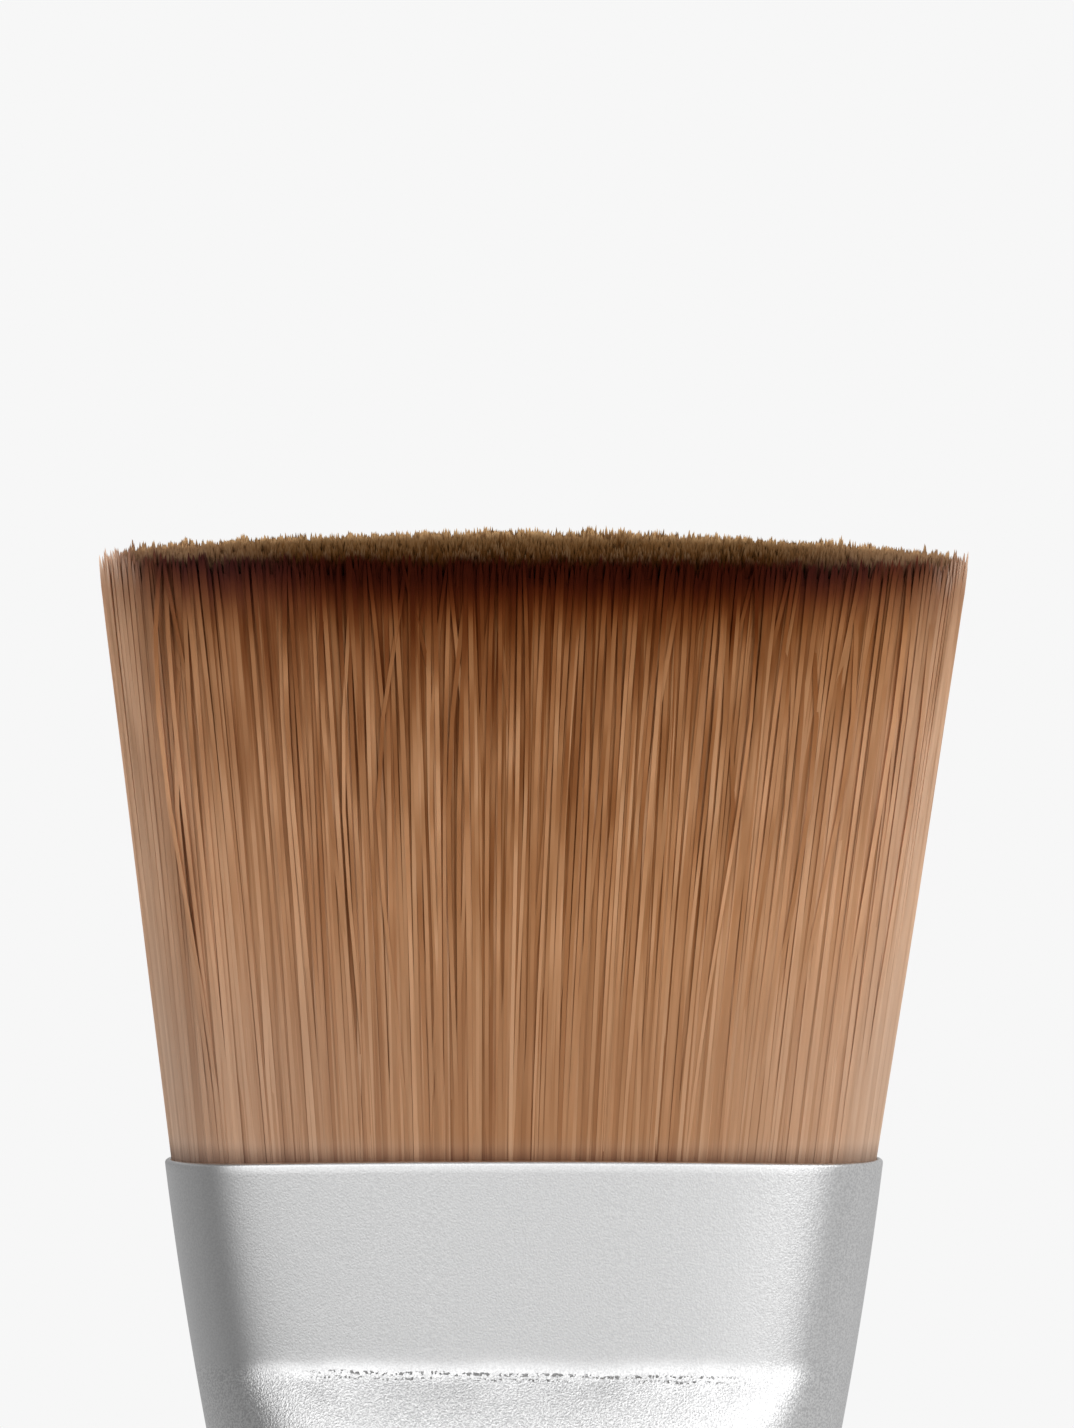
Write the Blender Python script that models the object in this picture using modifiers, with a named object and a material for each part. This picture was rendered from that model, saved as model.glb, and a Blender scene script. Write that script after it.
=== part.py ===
"""A flat-topped makeup brush, standing upright on the end of its handle.

The bristles are set in a resin plug inside a pressed aluminium ferrule. The turned wooden handle
has a tenon that goes up into the ferrule, where glue and two rolled crimps hold it.
Units are metres, +Z points up from the handle to the bristles, and the flat faces look along Y.
Heights are above the end of the handle, and depths are below the ferrule's rim.
"""

import math

import bmesh
import bpy
import numpy as np
from mathutils import Vector

# Lengths along the brush
HANDLE_LENGTH = 0.105
FERRULE_LENGTH = 0.042
BRISTLE_LENGTH = 0.025
FIT_GAP = 0.0003

FERRULE_BOTTOM = HANDLE_LENGTH + FIT_GAP
RIM_HEIGHT = FERRULE_BOTTOM + FERRULE_LENGTH

# Ferrule: a tube pressed flat above the crease, round below ROUND_DEPTH
SHEET_THICKNESS = 0.00035
RIM_HALF_WIDTH = 0.0144
FLAT_HALF_DEPTH = 0.00375
FACE_FLATNESS = 5.0
CREASE_DEPTH = 0.0082
ROUND_DEPTH = 0.034
SPRING_BACK = 1.5
RIM_RISE = 0.00024
RIM_RISE_FADE = 0.004
# How fast each side closes in, as (depth, slope); the slope changes evenly in between
SIDE_SLOPES = ((0.0, 0.12), (0.0105, 0.185), (0.026, 0.185), (FERRULE_LENGTH, 0.05))
RING_DEPTHS = (0.0, 0.002, 0.004, 0.0062, CREASE_DEPTH, 0.0095, 0.0115, 0.014, 0.017, 0.0205,
               0.0245, 0.029, ROUND_DEPTH)
CRIMP_DEPTHS = (0.0368, 0.0394)
CRIMP_INSET = 0.00035
CRIMP_HALF_HEIGHT = 0.0006

# Handle: its tenon goes up the ferrule, and the two grooves are rolled in by the crimps
TENON_RADIUS = 0.0076
TENON_TOP_RADIUS = 0.007
TENON_LENGTH = 0.021
TENON_CHAMFER = 0.0008
TENON_GROOVE = 0.0004
GROOVE_HALF_HEIGHT = 0.0008
NECK_RADIUS = 0.0081
SHOULDER_ROUND = 0.0004
END_RADIUS = 0.0052
END_ROUND = 0.001
BELLY = 0.0009
HANDLE_RINGS = 14

# Resin plug and tenon glue, cast inside the ferrule
WALL_CLEARANCE = SHEET_THICKNESS + FIT_GAP
PLUG_BOTTOM = 0.0188
GLUE_TOP = 0.0225
GLUE_BOTTOM = 0.0315
GLUE_RINGS = 4

# Bristles: strands that fan out of a slice of the set root
SLICE_TOP = 0.0008
SLICE_BOTTOM = 0.0028
STRANDS_WIDE = 38
STRANDS_DEEP = 9
STRAND_GAP = 0.00007
TIP_TAPER = 0.95
TIP_SWAY = 0.0001
SLICE_END_COSINE = 0.94
TIPS_HALF_WIDTH = 0.0172
TIPS_HALF_DEPTH = 0.0055
TIPS_LEAN = 0.00048
CROWN_WIDE = 0.0007
CROWN_DEEP = 0.0011
TRIM_SPREAD = 0.00018
VARY_SEED = 7

AROUND = 40
TURNED_STEPS = 40

COLLECTION_NAME = "makeup_brush"


def clear_scene():
    for obj in list(bpy.data.objects):
        bpy.data.objects.remove(obj, do_unlink=True)


def make_collection(name):
    collection = bpy.data.collections.new(name)
    bpy.context.scene.collection.children.link(collection)
    return collection


def make_material(name, color, roughness, metallic=0.0):
    material = bpy.data.materials.new(name)
    material.use_nodes = True
    shader = material.node_tree.nodes["Principled BSDF"]
    shader.inputs["Base Color"].default_value = (*color, 1.0)
    shader.inputs["Roughness"].default_value = roughness
    shader.inputs["Metallic"].default_value = metallic
    return material


def make_object(name, mesh, collection, material):
    obj = bpy.data.objects.new(name, mesh)
    obj.data.materials.append(material)
    collection.objects.link(obj)
    return obj


def shade_round(mesh, sharp_angle=35.0):
    mesh.shade_smooth()
    mesh.set_sharp_from_angle(angle=math.radians(sharp_angle))


def half_width(depth):
    """Half of the ferrule's width: the rim's, less the sides' slope added up from the rim."""
    lost = 0.0
    for (start, slope), (end, end_slope) in zip(SIDE_SLOPES, SIDE_SLOPES[1:]):
        span = min(depth, end) - start
        if span <= 0:
            break
        reached = slope + (end_slope - slope) * span / (end - start)
        lost += span * (slope + reached) / 2
    return RIM_HALF_WIDTH - lost


def half_depth(depth):
    """Half of the ferrule's thickness: flat to the crease, then springing back to round."""
    share = (depth - CREASE_DEPTH) / (ROUND_DEPTH - CREASE_DEPTH)
    share = min(max(share, 0.0), 1.0)
    roundness = 1 - (1 - share) ** SPRING_BACK
    return FLAT_HALF_DEPTH + (half_width(depth) - FLAT_HALF_DEPTH) * roundness


def spread_along_face(cosine):
    """Stretches a circle's middle into a nearly flat face: -1 to 1, steep at 0 and level at the ends."""
    return math.copysign(1 - (1 - abs(cosine)) ** FACE_FLATNESS, cosine)


def section_point(width, depth, angle):
    """(x, y) on an oval of half width and half depth: round ends, and faces with a slight crown."""
    cosine = math.cos(angle)
    return (width - depth) * spread_along_face(cosine) + depth * cosine, depth * math.sin(angle)


def section_ring(depth, inset=0.0, shrink=0.0):
    """One ring of points round the ferrule at a depth, inset from the outside of its wall."""
    width = half_width(depth) - inset - shrink
    thickness = half_depth(depth) - inset - shrink
    fade = max(0.0, 1 - depth / RIM_RISE_FADE)
    ring = []
    for i in range(AROUND):
        x, y = section_point(width, thickness, math.tau * i / AROUND)
        rise = RIM_RISE * fade * (1 - (x / width) ** 2)
        ring.append((x, y, RIM_HEIGHT - depth + rise))
    return ring


def loft(name, rings, capped):
    """A skin through rings listed from the top down, with a face over each end if it is capped."""
    points = [point for ring in rings for point in ring]
    faces = []
    for r in range(len(rings) - 1):
        for i in range(AROUND):
            after = (i + 1) % AROUND
            upper, lower = r * AROUND, (r + 1) * AROUND
            faces.append((upper + i, lower + i, lower + after, upper + after))
    if capped:
        faces.append(tuple(range(AROUND)))
        faces.append(tuple(reversed(range(len(points) - AROUND, len(points)))))
    mesh = bpy.data.meshes.new(name)
    mesh.from_pydata(points, [], faces)
    shade_round(mesh)
    return mesh


def turn(name, profile, collection, material):
    """A turned piece: a Screw round Z of a profile of (radius, height), listed down its outside."""
    mesh = bpy.data.meshes.new(name)
    points = [(radius, 0.0, height) for radius, height in profile]
    mesh.from_pydata(points, [(i, i + 1) for i in range(len(points) - 1)], [])
    obj = make_object(name, mesh, collection, material)
    screw = obj.modifiers.new("turned", "SCREW")
    screw.axis = "Z"
    screw.steps = screw.render_steps = TURNED_STEPS
    screw.use_merge_vertices = True
    screw.merge_threshold = 0.00001
    screw.use_smooth_shade = True
    return obj


def quarter_arc(centre, radius, start_degrees, steps=4):
    """(radius, height) points clockwise round a quarter circle, as seen with +X right and +Z up."""
    turns = [math.radians(start_degrees - 90 * i / steps) for i in range(steps + 1)]
    return [(centre[0] + radius * math.cos(t), centre[1] + radius * math.sin(t)) for t in turns]


def crimp_rings():
    """Rings at the edges, flanks and floor of each rolled crimp, as (depth, how far it is pressed in)."""
    rings = []
    for middle in CRIMP_DEPTHS:
        for share, pressed in ((-1, 0), (-0.45, 0.75), (0, 1), (0.45, 0.75), (1, 0)):
            rings.append((middle + share * CRIMP_HALF_HEIGHT, pressed * CRIMP_INSET))
    return rings


def build_ferrule(collection, material):
    rings = [section_ring(depth) for depth in RING_DEPTHS]
    rings += [section_ring(depth, shrink=pressed) for depth, pressed in crimp_rings()]
    rings.append(section_ring(FERRULE_LENGTH))
    ferrule = make_object("ferrule", loft("ferrule", rings, capped=False), collection, material)
    wall = ferrule.modifiers.new("sheet", "SOLIDIFY")
    wall.thickness = SHEET_THICKNESS
    wall.offset = -1.0
    wall.use_even_offset = True


def build_root_plug(collection, material):
    """Resin that locks the bristles' lower ends; it fills the ferrule under the bristles' slice."""
    top = SLICE_BOTTOM + FIT_GAP
    depths = [top, *(depth for depth in RING_DEPTHS if top < depth < PLUG_BOTTOM), PLUG_BOTTOM]
    rings = [section_ring(depth, inset=WALL_CLEARANCE) for depth in depths]
    make_object("root_plug", loft("root_plug", rings, capped=True), collection, material)


def tenon_radius(height):
    """The tenon narrows a little from the handle's shoulder up to its top."""
    share = (height - HANDLE_LENGTH) / TENON_LENGTH
    return TENON_RADIUS + (TENON_TOP_RADIUS - TENON_RADIUS) * share


def build_tenon_glue(collection, material):
    """A collar of set glue between the tenon and the wider part of the ferrule round it."""
    profile = []
    for depth in np.linspace(GLUE_TOP, GLUE_BOTTOM, GLUE_RINGS):
        profile.append((half_depth(depth) - WALL_CLEARANCE, RIM_HEIGHT - depth))
    for depth in (GLUE_BOTTOM, GLUE_TOP):
        height = RIM_HEIGHT - depth
        profile.append((tenon_radius(height) + FIT_GAP, height))
    profile.append(profile[0])
    turn("tenon_glue", profile, collection, material)


def handle_radius(height):
    """The handle's swelling: a smooth taper from neck to end, with a belly between them."""
    share = height / HANDLE_LENGTH
    taper = share * share * (3 - 2 * share)
    return END_RADIUS + (NECK_RADIUS - END_RADIUS) * taper + BELLY * math.sin(math.pi * share) ** 2


def build_handle(collection, material):
    tenon_top = HANDLE_LENGTH + TENON_LENGTH
    chamfer_bottom = tenon_top - TENON_CHAMFER
    profile = [(0.0, tenon_top), (TENON_TOP_RADIUS - TENON_CHAMFER, tenon_top)]
    profile.append((tenon_radius(chamfer_bottom), chamfer_bottom))
    for middle in CRIMP_DEPTHS:
        for share, pressed in ((-1, 0), (-0.4, 1), (0.4, 1), (1, 0)):
            height = RIM_HEIGHT - middle - share * GROOVE_HALF_HEIGHT
            profile.append((tenon_radius(height) - pressed * TENON_GROOVE, height))
    profile.append((TENON_RADIUS, HANDLE_LENGTH))
    shoulder = (NECK_RADIUS - SHOULDER_ROUND, HANDLE_LENGTH - SHOULDER_ROUND)
    profile += quarter_arc(shoulder, SHOULDER_ROUND, 90, steps=2)
    for height in np.linspace(HANDLE_LENGTH, 0.0, HANDLE_RINGS + 2)[1:-1]:
        profile.append((handle_radius(height), float(height)))
    profile += quarter_arc((END_RADIUS - END_ROUND, END_ROUND), END_ROUND, 0)
    profile.append((0.0, 0.0))
    turn("handle", profile, collection, material)


def slice_column(share, width, thickness):
    """(x, half thickness) of the root slice at a share of its half width from the middle, -1 to 1."""
    cosines = np.linspace(-SLICE_END_COSINE, SLICE_END_COSINE, 401)
    across = [(width - thickness) * spread_along_face(c) + thickness * c for c in cosines]
    x = share * across[-1]
    cosine = float(np.interp(x, across, cosines))
    return x, thickness * math.sqrt(1 - cosine * cosine)


def trimmed_height(x, y):
    """The height that the tips are cut to: a low crown both ways across the flat top."""
    wide = CROWN_WIDE * (x / TIPS_HALF_WIDTH) ** 2
    deep = CROWN_DEEP * (y / TIPS_HALF_DEPTH) ** 2
    return RIM_HEIGHT + BRISTLE_LENGTH - wide - deep


def build_bristles(collection, material):
    """A grid stretched over the root slice; each of its cells is drawn up into one strand."""
    width = half_width(SLICE_TOP) - WALL_CLEARANCE
    thickness = half_depth(SLICE_TOP) - WALL_CLEARANCE
    vary = np.random.default_rng(VARY_SEED)
    sheet = bmesh.new()
    bmesh.ops.create_grid(sheet, x_segments=STRANDS_WIDE, y_segments=STRANDS_DEEP, size=1.0)
    for vert in sheet.verts:
        x, reach = slice_column(vert.co.x, width, thickness)
        vert.co = Vector((x, vert.co.y * reach, RIM_HEIGHT - SLICE_TOP))
    cells = list(sheet.faces)

    border = [edge for edge in sheet.edges if edge.is_boundary]
    skirt = bmesh.ops.extrude_edge_only(sheet, edges=border)["geom"]
    for vert in (item for item in skirt if isinstance(item, bmesh.types.BMVert)):
        vert.co.z = RIM_HEIGHT - SLICE_BOTTOM
    hem = [e for e in skirt if isinstance(e, bmesh.types.BMEdge) and e.is_boundary]
    bmesh.ops.contextual_create(sheet, geom=hem)

    bmesh.ops.inset_individual(sheet, faces=cells, thickness=STRAND_GAP)
    tips = bmesh.ops.extrude_discrete_faces(sheet, faces=cells)["faces"]
    roots = [tip.calc_center_median() for tip in tips]
    fan_wide = TIPS_HALF_WIDTH / max(root.x for root in roots)
    fan_deep = TIPS_HALF_DEPTH / max(root.y for root in roots)
    for tip, root in zip(tips, roots):
        x, y = root.x * fan_wide, root.y * fan_deep
        sway_x, sway_y, trim = vary.uniform(-1, 1, 3)
        height = trimmed_height(x, y) + trim * TRIM_SPREAD
        middle = Vector((x + TIPS_LEAN + sway_x * TIP_SWAY, y + sway_y * TIP_SWAY, height))
        for vert in tip.verts:
            vert.co = middle + (vert.co - root) * TIP_TAPER
    bmesh.ops.recalc_face_normals(sheet, faces=sheet.faces)
    mesh = bpy.data.meshes.new("bristles")
    sheet.to_mesh(mesh)
    sheet.free()
    make_object("bristles", mesh, collection, material)


def main():
    clear_scene()
    collection = make_collection(COLLECTION_NAME)
    silver = make_material("satin_aluminium", (0.66, 0.66, 0.66), 0.38, metallic=1.0)
    resin = make_material("set_resin", (0.62, 0.5, 0.3), 0.3)
    lacquer = make_material("black_lacquer", (0.012, 0.012, 0.013), 0.22)
    filament = make_material("brown_filament", (0.37, 0.19, 0.09), 0.45)
    build_handle(collection, lacquer)
    build_ferrule(collection, silver)
    build_tenon_glue(collection, resin)
    build_root_plug(collection, resin)
    build_bristles(collection, filament)


main()
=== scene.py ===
"""The looks of a flat-topped makeup brush: dyed filaments, a blasted ferrule and a lacquered handle.

Lengths are in metres. The brush stands along +Z on the end of its handle, and its front face looks
towards -Y. Depths are measured down from the ferrule's rim.
"""

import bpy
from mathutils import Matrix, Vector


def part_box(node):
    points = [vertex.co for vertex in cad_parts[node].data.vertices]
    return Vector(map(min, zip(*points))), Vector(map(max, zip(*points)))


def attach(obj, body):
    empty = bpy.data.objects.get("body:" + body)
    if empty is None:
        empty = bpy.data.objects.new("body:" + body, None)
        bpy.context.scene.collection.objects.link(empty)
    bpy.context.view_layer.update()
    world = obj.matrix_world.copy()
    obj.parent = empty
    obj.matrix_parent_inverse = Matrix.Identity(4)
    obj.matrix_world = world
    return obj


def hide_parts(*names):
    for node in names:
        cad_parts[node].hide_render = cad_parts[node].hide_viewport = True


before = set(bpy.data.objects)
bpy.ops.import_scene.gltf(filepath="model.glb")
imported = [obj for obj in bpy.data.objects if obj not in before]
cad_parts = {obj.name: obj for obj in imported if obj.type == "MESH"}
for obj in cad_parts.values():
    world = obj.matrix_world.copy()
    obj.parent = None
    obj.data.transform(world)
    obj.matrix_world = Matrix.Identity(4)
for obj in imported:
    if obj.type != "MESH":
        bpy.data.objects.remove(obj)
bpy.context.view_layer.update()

import math

import bpy
import numpy as np
from mathutils import Vector

MM = 0.001
SEED = 11

# The photograph: pixels across and down, pixels to the millimetre, and where it sees the brush
PHOTO_WIDTH, PHOTO_HEIGHT = 1074, 1428
PIXELS_PER_MM = 25.0
AXIS_PIXEL_X = 524
RIM_PIXEL_Y = 1159
CAMERA_ELEVATION = math.radians(3.0)
LENS_MM = 420.0
SENSOR_MM = 36.0

# Ferrule
ferrule_low, ferrule_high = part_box("ferrule")
RIM_RISE = 0.24 * MM
RIM_RISE_FADE = 4.0 * MM
RIM_HEIGHT = ferrule_high.z - RIM_RISE
FERRULE_LENGTH = RIM_HEIGHT - ferrule_low.z
RIM_HALF_WIDTH = ferrule_high.x
SHEET_THICKNESS = 0.35 * MM
FLAT_HALF_DEPTH = 3.75 * MM
FACE_FLATNESS = 5.0
FACE_BOW = 0.6 * MM
CREASE_DEPTH = 8.2 * MM
CREASE_SOFTNESS = 0.16 * MM
CREASE_WAVER = 0.035 * MM
CREASE_WAVER_REACH = 0.8 * MM
ROUND_DEPTH = 34.0 * MM
SPRING_BACK = 1.5
SIDE_SLOPE_DEPTHS = np.array([0.0, 10.5, 26.0, 42.0]) * MM
SIDE_SLOPES = np.array([0.12, 0.185, 0.185, 0.05])
CRIMP_DEPTHS = (36.8 * MM, 39.4 * MM)
CRIMP_INSET = 0.35 * MM
CRIMP_HALF_HEIGHT = 0.6 * MM

# Waves of the crease's waver, from side to side: each is (size, rate, start) of a sine
CREASE_WAVES = [(1.0, 10.0, 0.0), (1.0, 23.0, 1.0), (1.0, 41.0, 2.0), (-1.8, 11.0, math.pi / 2)]

# Points of the ferrule's mesh: round it, and in rows along the wall. The rows lie close together
# within a reach of the crease, and those below and above it stop at these distances from the crease
FERRULE_AROUND = 360
LOWER_ROWS, CREASE_ROWS, UPPER_ROWS, INSIDE_ROWS, LIP_ROWS = 130, 34, 22, 24, 9
CLOSE_REACH = 1.6 * MM
LOWER_ROWS_STOP = 1.8 * MM
UPPER_ROWS_STOP = 1.9 * MM

# Blasted aluminium: its grain, and two dotted rows of grit near the crease
METAL_DARK = (0.64, 0.64, 0.645)
METAL_LIGHT = (0.86, 0.86, 0.86)
GRAINS_PER_METRE = 12000.0
SPECKS_PER_METRE = 17000.0
GRAIN_RELIEF = 0.011 * MM
PRESSED_FACE_END = (RIM_HEIGHT - 8.6 * MM, RIM_HEIGHT - 7.8 * MM)
GRIT_GREY = (0.34, 0.34, 0.34)
GRIT_DEPTH = 8.3 * MM
GRIT_SLOPE = 0.015
GRIT_WANDER = 0.35 * MM
GRIT_ROW_GAP = 0.2 * MM
GRIT_DOTS_PER_METRE = 8000.0
GRIT_FADE = (6.5 * MM, 9.5 * MM)

# Head of filaments: places across the head, u, run from -1 at its left end to 1 at its right
FILAMENT_LENGTH = 24.98 * MM
ROOT_DEPTH = 0.7 * MM
STRAND_LENGTH = FILAMENT_LENGTH + ROOT_DEPTH
FILAMENT_RADIUS = 0.088 * MM
RADIUS_SCATTER = (0.85, 1.15)
RADIUS_AT_ROOT, RADIUS_GAIN = 0.94, 0.16
WIDER_AT_ENDS = 0.12
WIDER_ZONE = (0.5, 0.9)
TAPER_LENGTH = 0.7 * MM
LONGER_TAPER = 1.5
LONGER_TAPER_ZONE = (0.88, 0.96)
ROOT_HALF_WIDTH = 13.98 * MM
ROOT_HALF_DEPTH = 3.33 * MM
TIP_HALF_WIDTH = 17.5 * MM
TIP_HALF_DEPTH = 5.65 * MM
TIP_FLATNESS = 1.3
TIP_LEAN = 0.45 * MM
TIP_SPACING = 0.125 * MM
TIP_JITTER = 0.4
ROOT_CROWDING = 1.7
END_CROWDING = 0.4
END_CROWDING_ZONE = (0.7, 1.0)
CROWN_WIDE = 0.85 * MM
CROWN_WIDE_SHIFT = 1.0 * MM
CROWN_DEEP = 0.92 * MM
CROWN_SKEW = 0.1
CROWN_END = 0.3
THIN_END = 0.07
FEWEST_AT_END = 0.1
MOST_TURNED = math.radians(50)
TURN_SCATTER = 0.1

# Stations of the strands' rings, as shares of their length and then by distance from the tip
RINGS_UP = [0.0, 0.14, 0.3, 0.45, 0.6, 0.75, 0.88]
RINGS_FROM_TIP = np.array([1.3, 0.6, 0.25, 0.0]) * MM
ALL_RINGS = list(range(len(RINGS_UP) + len(RINGS_FROM_TIP)))
CORE_RINGS = [0, 4, 6, 7, 8, 9, 10]

# Pieces: tufts of the filaments that show, within a depth or at the two ends, and cores of the others
TUFTS = 8
CORES = 4
SHOWN_DEPTH = 1.2 * MM
SHOWN_ENDS = 0.93

# Clumps, fine and coarse: spacing, share of the way that filaments are drawn in, and sideways lean.
# Only the outermost filaments clump, and those towards the head's two ends lie calmer
FINE_CLUMPS = (0.25 * MM, 0.4, 0.14 * MM)
COARSE_CLUMPS = (0.9 * MM, 0.1, 0.25 * MM)
CLUMP_JITTER = 0.45
CLUMP_START = 0.5
CLUMP_RISE = 0.5
CLUMPED_LAYER = (0.03 * MM, 0.22 * MM)
CALM_ZONE = (0.4, 0.95)
CALM_RIGHT, CALM_LEFT = 0.35, 0.55

# Single filaments that bow sideways, strays more than the rest
STRAY_SHARE = 0.3
STRAY_BOW, STEADY_BOW = 0.5 * MM, 0.08 * MM
BOW_RISE = 1.8

# The cut, uneven in cells narrow across and long in depth, and frayed near the two ends
RAGGED = 0.14 * MM
RAGGED_SCATTER = 0.05 * MM
RAGGED_WIDTH = 0.09 * MM
RAGGED_DEPTH = 1.5 * MM
RAGGED_STAGGER = 0.6 * MM
RAGGED_RISE = 8
FRAYED = 3.5
FRAYED_FROM = (0.9, 0.96)
FRAYED_TO = (0.965, 0.985)

# The closed skin that stands for the filaments packed behind those that show
PACKED_COLUMNS, PACKED_ROWS = 520, 40
PACKED_ROW_CROWDING = 0.7
PACKED_DEPTH = 0.08 * MM
PACKED_SHALLOWER = 0.4
PACKED_SHALLOWER_ZONE = (0.45, 0.75)
PACKED_BELOW_TIP = 0.15 * MM
PACKED_LOWER_ENDS = 2.0 * MM
PACKED_LOWER_FROM = 0.88
PACKED_CURL = 0.4
PACKED_CURL_HEIGHT = 0.5 * MM
PACKED_HALF_WIDTH = 0.955
# How deep the skin counts as lying, which gives it the painted shade of the strands deep in the head
PACKED_INWARD = 0.2 * MM

# Tone of filaments and clumps, and how far the dye's edge strays, in millimetres
FILAMENT_TONE = 0.08
CLUMP_TONE = 0.035
DYE_WAVES = [(0.07, 9.0, 1.0), (0.07, 23.0, 2.0), (0.07, 57.0, 0.0)]
DYE_SCATTER = 0.06
DYE_BOW = 0.5
# At the two ends the dark band ends far nearer the tip, partly by the dye and partly as painted light
# from the sides
DYE_AND_LIGHT_END_LEFT, DYE_AND_LIGHT_END_RIGHT = 6.5, 3.0
DYE_AND_LIGHT_END_POWER = 16

# Dyed filament: (millimetres from the tip, power that the root's brown is raised to)
ROOT_BROWN = (0.322, 0.174, 0.085)
DYE_POWERS = [
    (0.0, 3.7), (0.6, 3.55), (0.95, 3.15), (1.3, 2.75), (1.7, 2.35), (2.1, 2.03), (2.7, 1.77),
    (3.4, 1.56), (5.2, 1.35), (7.5, 1.2), (10.0, 1.12), (15.0, 1.06), (21.0, 1.05),
]
# A ramp's colours stop at 1, so the powers are divided by this in it and multiplied after it
MOST_POWER = 4
# Streaks along the filaments, wide and long so much
FINE_STREAKS = (0.13 * MM, 6 * MM)
WIDE_STREAKS = (0.35 * MM, 12 * MM)
# A faint tint blended into the strands near the tip, in the middle and at the ends
TIP_TINT_MIDDLE = (0.2, 0.045, 0.03)
TIP_TINT_ENDS = (0.16, 0.1, 0.14)
# Frayed tips at the two ends: partly their own paler colour, partly painted light that comes through them
FRAYED_COLOR = (0.5, 0.42, 0.35)
# Cut tips, by how near they are to the middle of the head's depth: their own olive and dark dye, with
# painted shade at the front and back and painted light towards the middle
CUT_COLORS = [
    (0.0, (0.02, 0.003, 0.0015)), (0.08, (0.03, 0.007, 0.002)), (0.25, (0.065, 0.025, 0.006)),
    (0.5, (0.095, 0.044, 0.014)), (0.75, (0.135, 0.071, 0.027)), (1.0, (0.2, 0.115, 0.053)),
]
# Painted light: paler cut tips at the two ends, and palest tips where they stand proud
CUT_ENDS_COLOR = (0.28, 0.18, 0.11)
PROUD_TIP_LIGHT = (0.5, 0.36, 0.2)
# Filaments shade each other and lose about half of the light, so their colours are this much lighter
SHADE_MADE_UP_FOR = 1.92
LIGHT_THROUGH = 0.45

# Handle
HANDLE_LENGTH = 105.0 * MM
NECK_RADIUS = 8.1 * MM
SHOULDER_ROUND = 0.4 * MM
END_RADIUS = 5.2 * MM
END_ROUND = 1.0 * MM
BELLY = 0.9 * MM
HANDLE_AROUND = 160
HANDLE_ROWS = 160
ARC_POINTS = 9
LACQUER_DARK = (0.009, 0.009, 0.01)
LACQUER_LIGHT = (0.017, 0.016, 0.016)

# Resin in the ferrule, clear and cloudy
PLUG_RESIN = ((0.5, 0.34, 0.14), (0.66, 0.5, 0.27))
GLUE_RESIN = ((0.58, 0.46, 0.25), (0.74, 0.64, 0.42))
BUBBLE_COLOR = (0.8, 0.72, 0.55)

# Floor and backdrop
FLOOR_REACH = 1.1
FLOOR_GREYS = ((0.78, 0.78, 0.78), (0.8, 0.8, 0.8))
BACKDROP_WHITE = (0.93, 0.93, 0.93, 1.0)

# Lamps: name, azimuth and elevation in degrees, distance, size and power in watts
LAMPS = [
    ("key_lamp", 40, 30, 0.7, 0.35, 3.5),
    ("fill_lamp", -50, 34, 0.7, 0.35, 2.2),
    ("top_lamp", 180, 70, 0.8, 0.4, 0.8),
]
AIM_ABOVE_RIM = 5 * MM
AMBIENT_FRONT = (0.21, 0.21, 0.21)
AMBIENT_BEHIND = (0.51, 0.51, 0.51)

# Greys that shiny surfaces reflect, by azimuth in degrees from the camera's side, low down and above
WALL_GREYS = [
    (-180, 0.5), (-140, 0.42), (-110, 0.35), (-90, 0.32), (-70, 0.28), (-50, 0.25), (-40, 0.3),
    (-30, 0.31), (-16, 0.36), (-8, 0.39), (0, 0.4), (6, 0.53), (12, 0.82), (20, 0.9), (28, 0.72),
    (36, 0.55), (60, 0.58), (110, 0.63), (180, 0.55),
]
FRONT_GREYS = [
    (-180, 0.4), (-70, 0.28), (-46, 0.2), (-38, 0.34), (-30, 1.15), (-22, 1.4), (-16, 1.55), (-8, 1.2),
    (-2, 1.5), (4.5, 0.75), (9, 1.1), (14, 1.4), (18, 1.75), (28, 1.8), (34, 1.2), (42, 0.72),
    (56, 0.6), (180, 0.6),
]
SOFTBOX_GREY = (0.95, 0.95, 0.95)
# A ramp's colours stop at 1, so the greys are divided by this in it and multiplied after it
BRIGHTEST = 2


class Signal:
    """A shader socket that takes arithmetic, so a pattern is written as an expression."""

    def __init__(self, finish, socket):
        self.finish = finish
        self.socket = socket

    def maths(self, operation, first, second=0.0):
        """One Math node."""
        return self.finish.node("Math", {"operation": operation}, {0: first, 1: second})

    def __add__(self, other):
        return self.maths("ADD", self, other)

    def __radd__(self, other):
        return self.maths("ADD", other, self)

    def __sub__(self, other):
        return self.maths("SUBTRACT", self, other)

    def __rsub__(self, other):
        return self.maths("SUBTRACT", other, self)

    def __mul__(self, other):
        return self.maths("MULTIPLY", self, other)

    def __rmul__(self, other):
        return self.maths("MULTIPLY", other, self)

    def __truediv__(self, other):
        return self.maths("DIVIDE", self, other)

    def __abs__(self):
        return self.maths("ABSOLUTE", self)

    def between(self, low, high):
        """0 below low and 1 above high, with an even rise between them, eased at both ends."""
        sockets = {"Value": self, "From Min": low, "From Max": high}
        return self.finish.node("MapRange", {"interpolation_type": "SMOOTHSTEP"}, sockets)


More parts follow.
